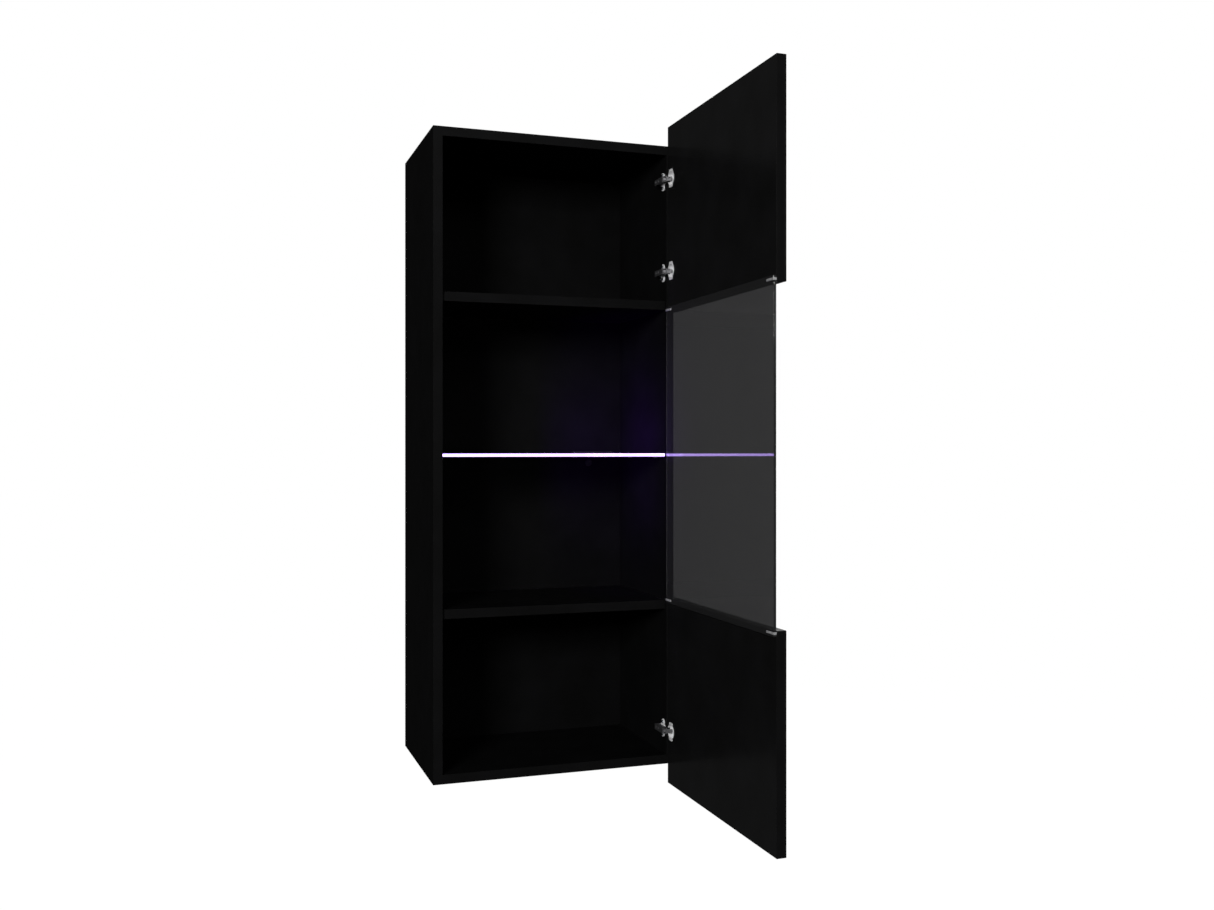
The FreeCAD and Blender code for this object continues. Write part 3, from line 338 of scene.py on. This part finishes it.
def soften(name, width):
    """Rounds a node's sharp edges a little, so that they catch the light."""
    thing = nodes[name]
    weld = thing.modifiers.new("weld", "WELD")
    weld.merge_threshold = 0.001 * MM
    round_off = thing.modifiers.new("edges", "BEVEL")
    round_off.width = width
    round_off.segments = 2
    round_off.limit_method = "ANGLE"
    round_off.angle_limit = math.radians(40)
    round_off.harden_normals = True
    round_off.use_clamp_overlap = True


def finish_boards():
    for name in ("top_panel", "bottom_panel", "upper_shelf", "lower_shelf"):
        paint(name, board, front=edge_band, back=raw_edge)
    # the outer faces of the side panels take the darker laminate copy: painted shade
    paint("left_side_panel", board, front=edge_band, back=raw_edge, left=shaded_outer_face)
    paint("right_side_panel", board, front=edge_band, back=raw_edge, right=shaded_outer_face)
    for name in BOARDS:
        soften(name, 0.4 * MM)
    paint("back_panel", back_face, back=raw_back)
    for name in ("door_upper_panel", "door_lower_panel"):
        paint(name, edge_band, right=door_gloss, left=door_inside)
        soften(name, 0.6 * MM)


def finish_hardware():
    for where in HINGE_PLACES:
        # cups and plates take the bright copy of the hinge nickel (painted highlight), arms and links the
        # dark copy (painted shade)
        for pressed in ("cup", "plate"):
            paint(f"hinge_{pressed}_{where}", lit_hinge_nickel)
        for shaded in ("arm", "outer_link", "inner_link"):
            paint(f"hinge_{shaded}_{where}", shaded_hinge_nickel)
    # the pins and arm screws take the dark nickel copy too: painted shade
    for name in ("hinge_outer_link_pins", "hinge_inner_link_pins", "hinge_arm_pins", "hinge_arm_screws"):
        paint(name, shaded_hinge_nickel)
    for name in ("glass_clips", "clip_screws"):
        paint(name, brushed)
    for name in ("hinge_plate_screws", "hanger_screws"):
        paint(name, screw_steel)
    for name in ("wall_rail", "left_hanger", "right_hanger"):
        paint(name, plated)
        soften(name, 0.25 * MM)
    for name in ("cam_locks", "cam_bolts"):
        paint(name, zinc)
    for name in ("cam_covers", "cable_grommet", "led_clip"):
        paint(name, moulded)
    paint("shelf_supports", dark_steel)
    paint("led_board", lamp_board)
    paint("wooden_dowels", dowel_wood)
    paint("door_glass", pane_glass)
    paint("glass_shelf", shelf_glass)


# ---------------------------------------------------------------- stage, lights and camera

def white_stage(below=0.55, size=60.0):
    """A plain white floor: the camera and the glass see it, but it lights nothing."""
    mesh = bpy.data.meshes.new("floor")
    half = size / 2
    level = cad_low.z - below
    corners = [(-half, -half, level), (half, -half, level), (half, half, level), (-half, half, level)]
    mesh.from_pydata(corners, [], [(0, 1, 2, 3)])
    floor = bpy.data.objects.new("floor", mesh)
    bpy.context.scene.collection.objects.link(floor)
    paper, tree, shader = material("white_floor", Emission_Color=(1, 1, 1, 1), Emission_Strength=1.0,
                                   Roughness=1.0, Specular_IOR_Level=0.0)
    tint(tree, shader, noise(tree, place(tree), 0.5), (0.3, grey(0.01)), (0.7, grey(0.012)))
    mesh.materials.append(paper)
    floor.visible_diffuse = False
    floor.visible_glossy = False
    floor.visible_shadow = False


def surround(dim):
    """The world: white to the camera and through glass, and a dim grey to everything else."""
    world = bpy.data.worlds.new("studio")
    bpy.context.scene.world = world
    world.use_nodes = True
    tree = world.node_tree
    tree.nodes.clear()
    path = node(tree, "ShaderNodeLightPath")
    seen = maths(tree, "MAXIMUM", path.outputs["Is Camera Ray"], path.outputs["Is Transmission Ray"])
    level = spread(tree, seen, dim, 1.0, 0.0, 1.0)
    white = node(tree, "ShaderNodeBackground", {"Color": (1, 1, 1, 1), "Strength": level})
    node(tree, "ShaderNodeOutputWorld", {"Surface": white.outputs["Background"]})


def softbox(name, at, towards, size, power, colour=(1, 1, 1)):
    """A rectangular lamp of size metres and power watts, hidden from the camera and through glass."""
    lamp = bpy.data.lights.new(name, "AREA")
    lamp.shape = "RECTANGLE"
    lamp.size, lamp.size_y = size
    lamp.energy = power
    lamp.color = colour
    made = bpy.data.objects.new(name, lamp)
    made.location = at
    made.rotation_euler = (Vector(towards) - Vector(at)).to_track_quat("-Z", "Y").to_euler()
    made.visible_camera = False
    made.visible_transmission = False
    bpy.context.scene.collection.objects.link(made)
    return made


def studio_lights():
    """One key from the front left, a weak fill from far ahead, and rim lights behind and to the right."""
    middle = Vector((0.0, -0.15, (cad_low.z + cad_high.z) / 2))
    softbox("key", middle + Vector((-2.33, -3.46, 0.94)), middle, (0.9, 0.9), 142.0)
    softbox("fill", middle + Vector((0.8, -10.0, 4.4)), middle, (4.0, 4.0), 130.0)
    softbox("rear", (1.6, 1.9, 0.9), middle, (1.2, 1.2), 60.0)
    softbox("side", (2.6, -1.2, -0.3), middle, (0.5, 1.6), 25.0)


def shelf_glow():
    """The violet light that the shelf throws over and under itself onto the right side and the corner."""
    clip_low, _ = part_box("led_clip")
    glass_low, glass_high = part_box("glass_shelf")
    start = Vector((clip_low.x - 0.025, clip_low.y - 0.115, 0.0))
    aim = Vector((1.0, 0.3, 0.0))
    for name, level, power in (("glow_above", glass_high.z + 0.03, 0.6),
                               ("glow_below", glass_low.z - 0.06, 0.22)):
        at = start + Vector((0.0, 0.0, level))
        lamp = softbox(name, at, at + aim, (0.10, 0.04), power, (0.25, 0.02, 1.0))
        lamp.visible_glossy = False


CAMERA_PLACE = (-0.59028, -2.31633, -0.48418)
CAMERA_TURN = -19.8297      # degrees about the vertical, looking level
FOCAL_LENGTH = 36.02        # on a sensor 36 mm wide
FRAME_SHIFT = (-0.02256, -0.0039)


def camera():
    lens = bpy.data.cameras.new("camera")
    lens.sensor_width = 36.0
    lens.lens = FOCAL_LENGTH
    lens.shift_x, lens.shift_y = FRAME_SHIFT
    lens.clip_start = 0.05
    made = bpy.data.objects.new("camera", lens)
    made.location = CAMERA_PLACE
    made.rotation_euler = (math.radians(90), 0, math.radians(CAMERA_TURN))
    bpy.context.scene.collection.objects.link(made)
    bpy.context.scene.camera = made


finish_boards()
finish_hardware()
white_stage()
surround(0.025)
studio_lights()
shelf_glow()
camera()
bpy.context.scene.view_settings.view_transform = "Standard"
